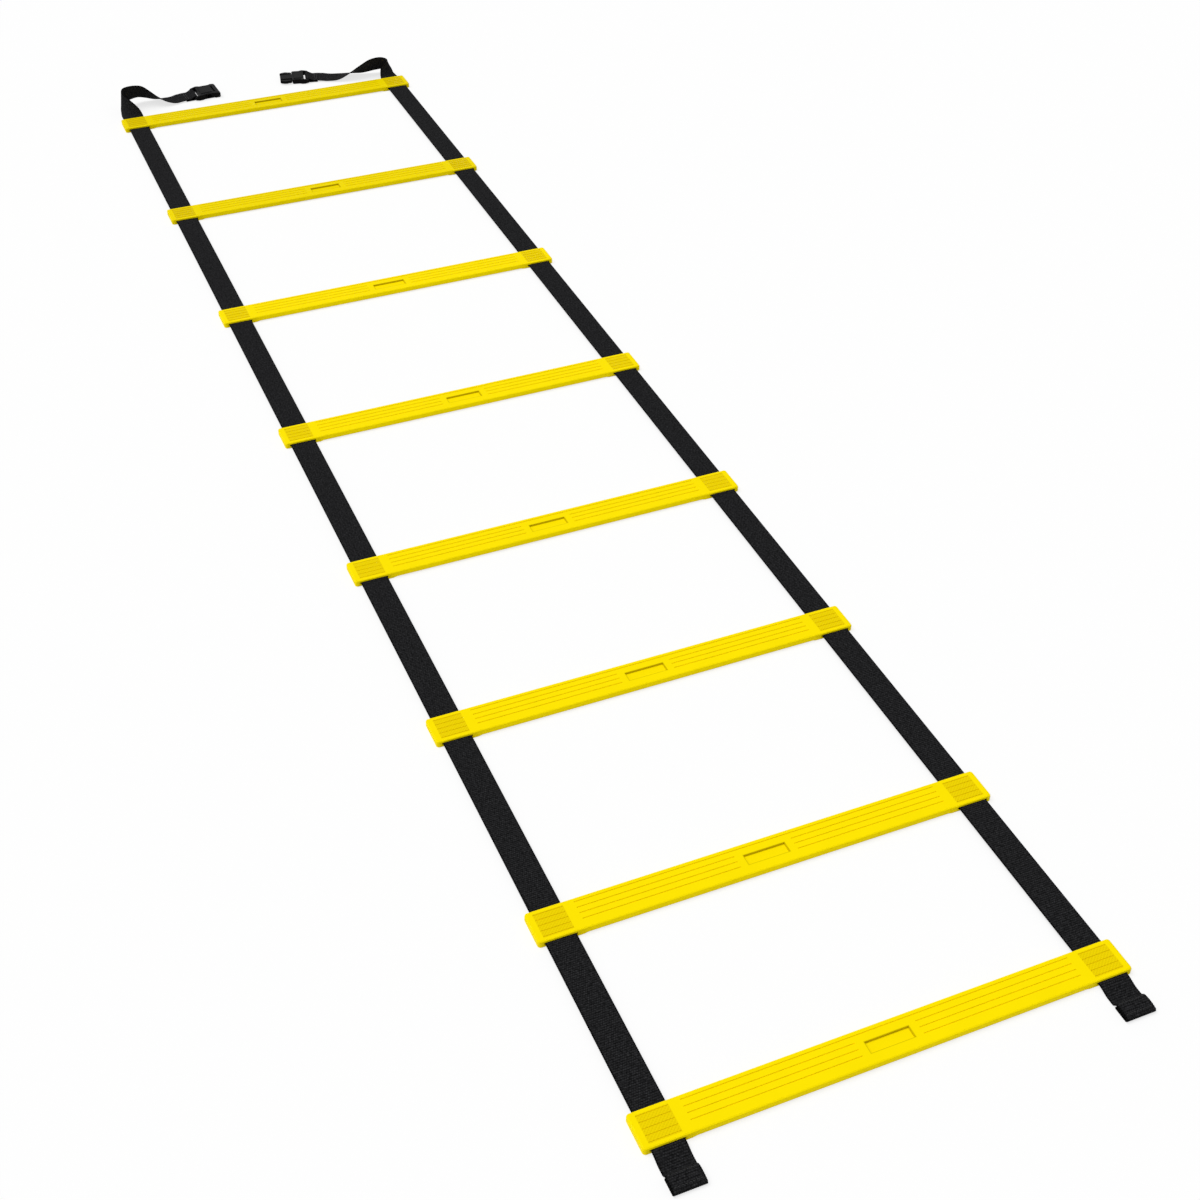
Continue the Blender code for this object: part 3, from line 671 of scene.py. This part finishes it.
def woven_webbing(colours):
    """Woven black webbing: dull ribs with staggered yarns, a little worn in places, with painted
    highlights on the crowns and painted shade in the valleys and along the edges.
    """
    # Polypropylene yarn is a soft black, glossier on each yarn's crown; its colour is drawn
    # lighter there, a painted highlight, and darker in the valleys, painted shade.
    # The weave attribute holds the place across, the distance along and the height of the weave.
    material, tree, shader = blank_material("woven_polypropylene_webbing")
    weave = add_node(tree, "ShaderNodeAttribute", {"attribute_name": "weave"})
    parts = add_node(tree, "ShaderNodeSeparateXYZ", inputs={"Vector": weave.outputs["Vector"]})
    cloth = add_node(tree, "ShaderNodeCombineXYZ", inputs={
        "X": parts.outputs["X"], "Y": parts.outputs["Y"]})
    wear = add_node(tree, "ShaderNodeTexNoise", inputs={
        "Vector": cloth.outputs[0], "Scale": 1 / WEAR_SPOT, "Detail": 4.0, "Roughness": 0.6})
    fibre = add_node(tree, "ShaderNodeTexNoise", inputs={
        "Vector": cloth.outputs[0], "Scale": 1 / FILAMENT_SPOT, "Detail": 2.0})
    bump = add_node(tree, "ShaderNodeBump", inputs={
        "Strength": 0.5, "Distance": FILAMENT_DEPTH, "Height": fibre.outputs["Fac"]})
    base = linear(colours.webbing)
    # Painted highlight on the crowns and painted shade in the valleys, from the weave's height
    tone = add_node(tree, "ShaderNodeMix", {"data_type": "RGBA"}, {
        "Factor": parts.outputs["Z"], "A": tinted(base, VALLEY_SHADE),
        "B": tinted(base, CROWN_HIGHLIGHT)})
    worn = add_node(tree, "ShaderNodeMapRange", inputs={
        "Value": wear.outputs["Fac"], "From Min": 0.35, "From Max": 0.75,
        "To Min": 0.85, "To Max": 1.25})
    # Painted highlight and shade: some yarns are drawn lighter, as if they caught the light, and
    # others, 2 mm on, darker.
    glint_noise = add_node(tree, "ShaderNodeTexNoise", inputs={
        "Vector": cloth.outputs[0], "Scale": 1 / GLINT_SPOT, "Detail": 1.0})
    painted_glints = add_node(tree, "ShaderNodeMapRange", inputs={
        "Value": glint_noise.outputs["Fac"], "From Min": 0.3, "From Max": 0.7,
        "To Min": 0.45, "To Max": 1.6})
    # Painted shade along both edges of the webbing
    from_middle = add_node(tree, "ShaderNodeMath", {"operation": "ABSOLUTE"},
                           {0: parts.outputs["X"]})
    edge_shade = add_node(tree, "ShaderNodeMapRange", {"interpolation_type": "SMOOTHSTEP"}, {
        "Value": from_middle.outputs[0], "From Min": EDGE_SHADE_START, "From Max": EDGE_SHADE_END,
        "To Min": 1.0, "To Max": 0.25})
    shade = worn.outputs[0]
    for other in (painted_glints, edge_shade):
        product = add_node(tree, "ShaderNodeMath", {"operation": "MULTIPLY"},
                           {0: shade, 1: other.outputs[0]})
        shade = product.outputs[0]
    colour = add_node(tree, "ShaderNodeVectorMath", {"operation": "SCALE"},
                      {0: tone.outputs["Result"], "Scale": shade})
    gloss = add_node(tree, "ShaderNodeMapRange", inputs={
        "Value": parts.outputs["Z"], "To Min": 0.9, "To Max": 0.7})
    tree.links.new(colour.outputs[0], shader.inputs["Base Color"])
    tree.links.new(gloss.outputs[0], shader.inputs["Roughness"])
    tree.links.new(bump.outputs[0], shader.inputs["Normal"])
    shader.inputs["IOR"].default_value = 1.49
    shader.inputs["Specular IOR Level"].default_value = 0.015
    return material


# The twist of the thread: the wave repeats every 0.63 of its size, so every 0.75 mm
TWIST_SIZE = 0.0012
TWIST_DEPTH = 0.00008


def sewing_thread(colours):
    """Bonded black polyester thread: twisted, a little glossier than the webbing."""
    material, tree, shader = blank_material("bonded_polyester_thread")
    place = add_node(tree, "ShaderNodeTexCoord")
    twist = add_node(
        tree, "ShaderNodeTexWave", {"wave_type": "BANDS", "bands_direction": "DIAGONAL"},
        {"Vector": place.outputs["Object"], "Scale": 1 / TWIST_SIZE, "Distortion": 1.0})
    bump = add_node(tree, "ShaderNodeBump", inputs={
        "Strength": 0.6, "Distance": TWIST_DEPTH, "Height": twist.outputs["Fac"]})
    tree.links.new(bump.outputs[0], shader.inputs["Normal"])
    shader.inputs["Base Color"].default_value = linear(colours.thread)
    shader.inputs["Roughness"].default_value = 0.45
    return material


# The two far slats are drawn in a deeper yellow than the rest
SLAT_TONES = {1: 0.86, 2: 0.90}
# The patch over each strap, with its soft edge
PATCH_HALF_LENGTH = 0.0145
PATCH_HALF_WIDTH = 0.0138
PATCH_EDGE = 0.0010
# The knurl on the patches is a net of pits, two to each of these wave lengths
KNURL_ALONG = 0.0034
KNURL_ACROSS = 0.0032
KNURL_DEPTH = 0.00025
# The moulded grain, drawn at 0.5 mm so that it shows, its depth as a share of the knurl's, and
# the flow marks
GRAIN_SPOT = 0.0005
GRAIN_SHARE = 0.12
FLOW_SPOT = 0.030
# The sunk panel in the middle of each slat's top, and the painted shade along its rim
PANEL_HALF_LENGTH = 0.0210
PANEL_HALF_WIDTH = 0.0059
PANEL_OFFSET = -0.0011
RIM_SHADE_START = 0.0003
RIM_SHADE_END = 0.0010
RIM_SHADE_TONE = 0.72


def strap_patch(tree, reach_x, reach_y):
    """A socket that is 1 on the patches over both straps and 0 elsewhere.

    It is the product of two soft-edged masks: of the distance from the strap's middle along
    the slat, and of the distance from the slat's middle across it.
    """
    from_strap = add_node(tree, "ShaderNodeMath", {"operation": "SUBTRACT"},
                          {0: reach_x, 1: strap_line()[1]})
    from_strap = add_node(tree, "ShaderNodeMath", {"operation": "ABSOLUTE"},
                          {0: from_strap.outputs[0]})
    masks = []
    for distance, half in ((from_strap.outputs[0], PATCH_HALF_LENGTH),
                           (reach_y, PATCH_HALF_WIDTH)):
        mask = add_node(tree, "ShaderNodeMapRange", {"interpolation_type": "SMOOTHSTEP"}, {
            "Value": distance, "From Min": half + PATCH_EDGE / 2,
            "From Max": half - PATCH_EDGE / 2})
        masks.append(mask.outputs[0])
    patch = add_node(tree, "ShaderNodeMath", {"operation": "MULTIPLY"},
                     {0: masks[0], 1: masks[1]})
    return patch.outputs[0]


def knurl_pits(tree, parts, patch):
    """A socket for the net of pits on the patches: a sine along times a sine across."""
    knurl = patch
    for axis, wave_length in (("X", KNURL_ALONG), ("Y", KNURL_ACROSS)):
        turn = add_node(tree, "ShaderNodeMath", {"operation": "MULTIPLY"},
                        {0: parts.outputs[axis], 1: 2 * math.pi / wave_length})
        wave = add_node(tree, "ShaderNodeMath", {"operation": "SINE"}, {0: turn.outputs[0]})
        product = add_node(tree, "ShaderNodeMath", {"operation": "MULTIPLY"},
                           {0: knurl, 1: wave.outputs[0]})
        knurl = product.outputs[0]
    return knurl


def panel_rim_shade(tree, reach_x, parts):
    """A socket for the painted shade that darkens the colour along the rim of the sunk panel.

    The distance from the rim is the larger of the distances past the panel's half length and
    past its half width, without its sign.
    """
    past_x = add_node(tree, "ShaderNodeMath", {"operation": "SUBTRACT"},
                      {0: reach_x, 1: PANEL_HALF_LENGTH})
    from_middle = add_node(tree, "ShaderNodeMath", {"operation": "SUBTRACT"},
                           {0: parts.outputs["Y"], 1: PANEL_OFFSET})
    from_middle = add_node(tree, "ShaderNodeMath", {"operation": "ABSOLUTE"},
                           {0: from_middle.outputs[0]})
    past_y = add_node(tree, "ShaderNodeMath", {"operation": "SUBTRACT"},
                      {0: from_middle.outputs[0], 1: PANEL_HALF_WIDTH})
    rim = add_node(tree, "ShaderNodeMath", {"operation": "MAXIMUM"},
                   {0: past_x.outputs[0], 1: past_y.outputs[0]})
    rim = add_node(tree, "ShaderNodeMath", {"operation": "ABSOLUTE"}, {0: rim.outputs[0]})
    rim_shade = add_node(tree, "ShaderNodeMapRange", {"interpolation_type": "SMOOTHSTEP"}, {
        "Value": rim.outputs[0], "From Min": RIM_SHADE_START, "From Max": RIM_SHADE_END,
        "To Min": RIM_SHADE_TONE, "To Max": 1.0})
    return rim_shade.outputs[0]


def moulded_slat(number, centre, colours):
    """Moulded yellow polypropylene: satin, with flow marks, a deeper patch over each strap, and
    painted shade in the knurl's pits and along the sunk panel's rim.
    """
    # The thin plate over the black webbing lets it show through, so the patch is a deeper yellow.
    material, tree, shader = blank_material(f"moulded_polypropylene_slat_{number}")
    place = add_node(tree, "ShaderNodeTexCoord")
    local = add_node(tree, "ShaderNodeMapping", {"vector_type": "POINT"},
                     {"Vector": place.outputs["Object"], "Location": (0, -centre, 0)})
    parts = add_node(tree, "ShaderNodeSeparateXYZ", inputs={"Vector": local.outputs[0]})
    reach_x = add_node(tree, "ShaderNodeMath", {"operation": "ABSOLUTE"}, {0: parts.outputs["X"]})
    reach_y = add_node(tree, "ShaderNodeMath", {"operation": "ABSOLUTE"}, {0: parts.outputs["Y"]})
    patch = strap_patch(tree, reach_x.outputs[0], reach_y.outputs[0])
    knurl = knurl_pits(tree, parts, patch)
    grain = add_node(tree, "ShaderNodeTexNoise", inputs={
        "Vector": local.outputs[0], "Scale": 1 / GRAIN_SPOT, "Detail": 3.0})
    flow = add_node(tree, "ShaderNodeTexNoise", inputs={
        "Vector": local.outputs[0], "Scale": 1 / FLOW_SPOT, "Detail": 3.0, "Roughness": 0.55})
    relief = add_node(tree, "ShaderNodeMath", {"operation": "MULTIPLY_ADD"},
                      {0: grain.outputs["Fac"], 1: GRAIN_SHARE, 2: knurl})
    bump = add_node(tree, "ShaderNodeBump", inputs={
        "Strength": 0.5, "Distance": KNURL_DEPTH, "Height": relief.outputs[0]})
    yellow_share = SLAT_TONES.get(number, 1.0)
    plain = add_node(tree, "ShaderNodeMix", {"data_type": "RGBA"}, {
        "Factor": patch, "A": tinted(linear(colours.slat), yellow_share),
        "B": tinted(linear(colours.slat_shade), yellow_share)})
    tone = add_node(tree, "ShaderNodeMapRange", inputs={
        "Value": flow.outputs["Fac"], "From Min": 0.3, "From Max": 0.7,
        "To Min": 0.975, "To Max": 1.0})
    # Painted shade in the knurl's pits
    pit_shade = add_node(tree, "ShaderNodeMapRange", inputs={
        "Value": knurl, "From Min": -1.0, "From Max": -0.2, "To Min": 0.88, "To Max": 1.0})
    shade = tone.outputs[0]
    # The colour is darkened by painted shade in the knurl's pits and along the sunk panel's rim
    for other in (pit_shade.outputs[0], panel_rim_shade(tree, reach_x.outputs[0], parts)):
        product = add_node(tree, "ShaderNodeMath", {"operation": "MULTIPLY"}, {0: shade, 1: other})
        shade = product.outputs[0]
    colour = add_node(tree, "ShaderNodeVectorMath", {"operation": "SCALE"},
                      {0: plain.outputs["Result"], "Scale": shade})
    gloss = add_node(tree, "ShaderNodeMapRange", inputs={
        "Value": flow.outputs["Fac"], "From Min": 0.3, "From Max": 0.7,
        "To Min": 0.44, "To Max": 0.52})
    tree.links.new(colour.outputs[0], shader.inputs["Base Color"])
    tree.links.new(gloss.outputs[0], shader.inputs["Roughness"])
    tree.links.new(bump.outputs[0], shader.inputs["Normal"])
    shader.inputs["IOR"].default_value = 1.49
    shader.inputs["Specular IOR Level"].default_value = 0.02
    return material


# The buckle's spark-eroded grain, drawn at 0.4 mm so that it shows, and its rubbed spots
SPARK_SPOT = 0.0004
SPARK_DEPTH = 0.0001
RUBBED_SPOT = 0.012


def moulded_acetal(colours):
    """Moulded black acetal: satin, with a fine spark-eroded grain and paler rubbed spots."""
    material, tree, shader = blank_material("moulded_acetal_buckle")
    place = add_node(tree, "ShaderNodeTexCoord")
    grain = add_node(tree, "ShaderNodeTexNoise", inputs={
        "Vector": place.outputs["Object"], "Scale": 1 / SPARK_SPOT, "Detail": 3.0})
    rub = add_node(tree, "ShaderNodeTexNoise", inputs={
        "Vector": place.outputs["Object"], "Scale": 1 / RUBBED_SPOT, "Detail": 4.0})
    bump = add_node(tree, "ShaderNodeBump", inputs={
        "Strength": 0.35, "Distance": SPARK_DEPTH, "Height": grain.outputs["Fac"]})
    base = linear(colours.buckle)
    colour = add_node(tree, "ShaderNodeMix", {"data_type": "RGBA"}, {
        "Factor": rub.outputs["Fac"], "A": tinted(base, 0.8), "B": tinted(base, 1.3)})
    gloss = add_node(tree, "ShaderNodeMapRange", inputs={
        "Value": rub.outputs["Fac"], "From Min": 0.3, "From Max": 0.7,
        "To Min": 0.36, "To Max": 0.46})
    tree.links.new(colour.outputs["Result"], shader.inputs["Base Color"])
    tree.links.new(gloss.outputs[0], shader.inputs["Roughness"])
    tree.links.new(bump.outputs[0], shader.inputs["Normal"])
    shader.inputs["IOR"].default_value = 1.48
    shader.inputs["Specular IOR Level"].default_value = 0.03
    return material


# Radius of the moulded edges
SLAT_EDGE = 0.00018
BUCKLE_EDGE = 0.00035
# Points closer than this are one, faces within this angle are flat, and others meet in an edge
SAME_POINT = 0.00001
FLAT_ANGLE = math.radians(0.5)
EDGE_ANGLE = math.radians(32)


def dress_node(name, material, bevel):
    """Give a solid its material and soften its moulded edges."""
    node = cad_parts[name]
    node.data.materials.clear()
    node.data.materials.append(material)
    weld = node.modifiers.new("weld", "WELD")
    weld.merge_threshold = SAME_POINT
    flat = node.modifiers.new("flats", "DECIMATE")
    flat.decimate_type = "DISSOLVE"
    flat.angle_limit = FLAT_ANGLE
    soften = node.modifiers.new("edges", "BEVEL")
    soften.width = bevel
    soften.segments = 2
    soften.limit_method = "ANGLE"
    soften.angle_limit = EDGE_ANGLE
    soften.harden_normals = True
    soften.use_clamp_overlap = True


# Operators

class LADDER_OT_dress_slats(bpy.types.Operator):
    """Give the eight slats their moulded yellow finish"""
    bl_idname = "ladder.dress_slats"
    bl_label = "Dress the slats"

    def execute(self, context):
        colours = context.scene.ladder_colours
        for number in range(1, RUNG_COUNT + 1):
            material = moulded_slat(number, rung_place(number), colours)
            dress_node(f"rung_{number}", material, SLAT_EDGE)
        return {"FINISHED"}


class LADDER_OT_weave_bays(bpy.types.Operator):
    """Weave both straps through the seven bays"""
    bl_idname = "ladder.weave_bays"
    bl_label = "Weave the bays"

    def execute(self, context):
        material = shared_webbing(context)
        for side in SIDE_NAMES:
            for number in range(1, RUNG_COUNT):
                bay_webbing(side, number, context.scene.ladder_webbing, material)
        return {"FINISHED"}


class LADDER_OT_weave_tails(bpy.types.Operator):
    """Weave the banked far tails and the loops round the strap bars"""
    bl_idname = "ladder.weave_tails"
    bl_label = "Weave the tails"

    def execute(self, context):
        for side in SIDE_NAMES:
            tail_webbing(side, context.scene.ladder_webbing, shared_webbing(context))
        return {"FINISHED"}


class LADDER_OT_weave_hems(bpy.types.Operator):
    """Weave the folded hems at the near end"""
    bl_idname = "ladder.weave_hems"
    bl_label = "Weave the hems"

    def execute(self, context):
        for side in SIDE_NAMES:
            hem_webbing(side, context.scene.ladder_webbing, shared_webbing(context))
        return {"FINISHED"}


class LADDER_OT_sew(bpy.types.Operator):
    """Sew the hems and the loops at the buckle"""
    bl_idname = "ladder.sew"
    bl_label = "Sew the ends"

    def execute(self, context):
        thread = context.scene.ladder_thread
        sizes = context.scene.ladder_webbing
        material = sewing_thread(context.scene.ladder_colours)
        width, offset, level = strap_line()
        reach = width / 2 - ROW_INSET
        profile = hem_profile(level, sizes.thickness, rung_half_width())
        for side, word in SIDE_NAMES.items():
            rows = []
            for out in (HEM_START + HEM_RISE, TUCK_END):
                place = np.argmin(np.abs(profile[:, 0] - out) - profile[:, 1])
                y, top = rung_place(RUNG_COUNT) - out, profile[place, 1] + sizes.thickness / 2
                rows.append(((side * offset - reach, y, top), (side * offset + reach, y, top)))
            sew(f"hem_stitches_{word}", rows, (1, 0, 0), (0, 0, 1), thread, material,
                f"panel_{RUNG_COUNT}")
            bar, ahead, inward = bar_frame(side)
            rows = []
            for out in LOOP_ROWS:
                centre = bar - ahead * out + UP * (JOIN_LEVEL + sizes.thickness / 2)
                rows.append((centre - inward * reach, centre + inward * reach))
            sew(f"loop_stitches_{word}", rows, inward, (0, 0, 1), thread, material, "panel_1")
        return {"FINISHED"}


class LADDER_OT_dress_buckle(bpy.types.Operator):
    """Give both buckle halves their moulded black finish"""
    bl_idname = "ladder.dress_buckle"
    bl_label = "Dress the buckle"

    def execute(self, context):
        material = moulded_acetal(context.scene.ladder_colours)
        for name in ("buckle_socket", "buckle_plug", "plug_arm_near", "plug_arm_far"):
            dress_node(name, material, BUCKLE_EDGE)
        return {"FINISHED"}


class LADDER_OT_set_stage(bpy.types.Operator):
    """Lay the floor, light it softly and set the camera"""
    bl_idname = "ladder.set_stage"
    bl_label = "Set the stage"

    def execute(self, context):
        stage = context.scene.ladder_stage
        lay_floor(stage, context.scene.ladder_colours)
        light_stage(stage)
        set_camera(stage)
        context.scene.view_settings.view_transform = "Standard"
        return {"FINISHED"}


def shared_webbing(context):
    """The webbing material, made once."""
    known = bpy.data.materials.get("woven_polypropylene_webbing")
    return known or woven_webbing(context.scene.ladder_colours)


# Stage

# Turn of the key light, and place and turn of the camera, from the fit to the photograph. Angles
# are in degrees
KEY_TURN = (-14.5, -21.2, 0)
CAMERA_PLACE = (-0.5829644, -1.70365239, 1.215609)
CAMERA_TURN = (50.03066649, -0.78144663, -23.23261936)


def backdrop_rays(tree):
    """A socket that is 1 for the rays that show the backdrop: camera, glossy and transmission."""
    ray = add_node(tree, "ShaderNodeLightPath")
    seen = ray.outputs["Is Camera Ray"]
    for kind in ("Is Glossy Ray", "Is Transmission Ray"):
        both = add_node(tree, "ShaderNodeMath", {"operation": "MAXIMUM"},
                        {0: seen, 1: ray.outputs[kind]})
        seen = both.outputs[0]
    return seen


def lay_floor(stage, colours):
    """A pale floor whose camera view is lifted to the backdrop's white and keeps its shadows."""
    reach = stage.floor_reach
    mesh = bpy.data.meshes.new("floor")
    mesh.from_pydata([(-reach, -reach, 0), (reach, -reach, 0), (reach, reach, 0),
                      (-reach, reach, 0)], [], [(0, 1, 2, 3)])
    floor = bpy.data.objects.new("floor", mesh)
    bpy.context.scene.collection.objects.link(floor)
    material = bpy.data.materials.new("painted_studio_floor")
    material.use_nodes = True
    tree = material.node_tree
    tree.nodes.clear()
    paint = add_node(tree, "ShaderNodeBsdfDiffuse", inputs={"Color": linear(colours.floor)})
    seen = add_node(tree, "ShaderNodeMath", {"operation": "MULTIPLY"},
                    {0: backdrop_rays(tree), 1: stage.floor_lift})
    glow = add_node(tree, "ShaderNodeEmission", inputs={"Color": (1, 1, 1, 1), "Strength": 1.0})
    both = add_node(tree, "ShaderNodeMixShader", inputs={
        "Fac": seen.outputs[0], 1: paint.outputs[0], 2: glow.outputs[0]})
    add_node(tree, "ShaderNodeOutputMaterial", inputs={"Surface": both.outputs[0]})
    mesh.materials.append(material)


def light_stage(stage):
    """Even light from a white sky, and one wide soft key from the upper left."""
    world = bpy.data.worlds.new("studio")
    bpy.context.scene.world = world
    world.use_nodes = True
    tree = world.node_tree
    tree.nodes.clear()
    strength = add_node(tree, "ShaderNodeMapRange", inputs={
        "Value": backdrop_rays(tree), "To Min": stage.sky_strength, "To Max": 1.0})
    sky = add_node(tree, "ShaderNodeBackground", inputs={
        "Color": (1, 1, 1, 1), "Strength": strength.outputs[0]})
    add_node(tree, "ShaderNodeOutputWorld", inputs={"Surface": sky.outputs[0]})
    key = bpy.data.lights.new("key", "SUN")
    key.energy = stage.key_strength
    key.angle = stage.key_spread
    lamp = bpy.data.objects.new("key", key)
    bpy.context.scene.collection.objects.link(lamp)
    lamp.rotation_euler = [math.radians(angle) for angle in KEY_TURN]


def set_camera(stage):
    """The photograph's viewpoint."""
    camera = bpy.data.cameras.new("camera")
    camera.sensor_width = 36
    camera.lens = stage.lens
    camera.clip_start = 0.05
    camera.clip_end = 100
    viewer = bpy.data.objects.new("camera", camera)
    bpy.context.scene.collection.objects.link(viewer)
    viewer.location = CAMERA_PLACE
    viewer.rotation_euler = [math.radians(angle) for angle in CAMERA_TURN]
    bpy.context.scene.camera = viewer


# Panel and registration

STEPS = (LADDER_OT_dress_slats, LADDER_OT_weave_bays, LADDER_OT_weave_tails,
         LADDER_OT_weave_hems, LADDER_OT_sew, LADDER_OT_dress_buckle, LADDER_OT_set_stage)
GROUPS = (("ladder_webbing", LadderWebbingSizes), ("ladder_thread", LadderThreadSizes),
          ("ladder_colours", LadderColours), ("ladder_stage", LadderStageSizes))


class LADDER_PT_sidebar(bpy.types.Panel):
    """Sizes, colours and steps of the ladder"""
    bl_idname = "LADDER_PT_sidebar"
    bl_label = "Agility Ladder"
    bl_space_type = "VIEW_3D"
    bl_region_type = "UI"
    bl_category = "Ladder"

    def draw(self, context):
        for name, group in GROUPS:
            box = self.layout.box()
            settings = getattr(context.scene, name)
            for key in group.__annotations__:
                box.prop(settings, key)
        for step in STEPS:
            self.layout.operator(step.bl_idname)


def register():
    """Register the classes and hang the settings on the scene."""
    for name, group in GROUPS:
        bpy.utils.register_class(group)
        setattr(bpy.types.Scene, name, PointerProperty(type=group))
    for step in STEPS:
        bpy.utils.register_class(step)
    bpy.utils.register_class(LADDER_PT_sidebar)


def unregister():
    """Take the classes and the settings away again."""
    bpy.utils.unregister_class(LADDER_PT_sidebar)
    for step in reversed(STEPS):
        bpy.utils.unregister_class(step)
    for name, group in reversed(GROUPS):
        delattr(bpy.types.Scene, name)
        bpy.utils.unregister_class(group)


def main():
    """Dress the ladder."""
    register()
    bpy.ops.ladder.dress_slats()
    bpy.ops.ladder.weave_bays()
    bpy.ops.ladder.weave_tails()
    bpy.ops.ladder.weave_hems()
    bpy.ops.ladder.sew()
    bpy.ops.ladder.dress_buckle()
    bpy.ops.ladder.set_stage()


if __name__ == "__main__":
    main()
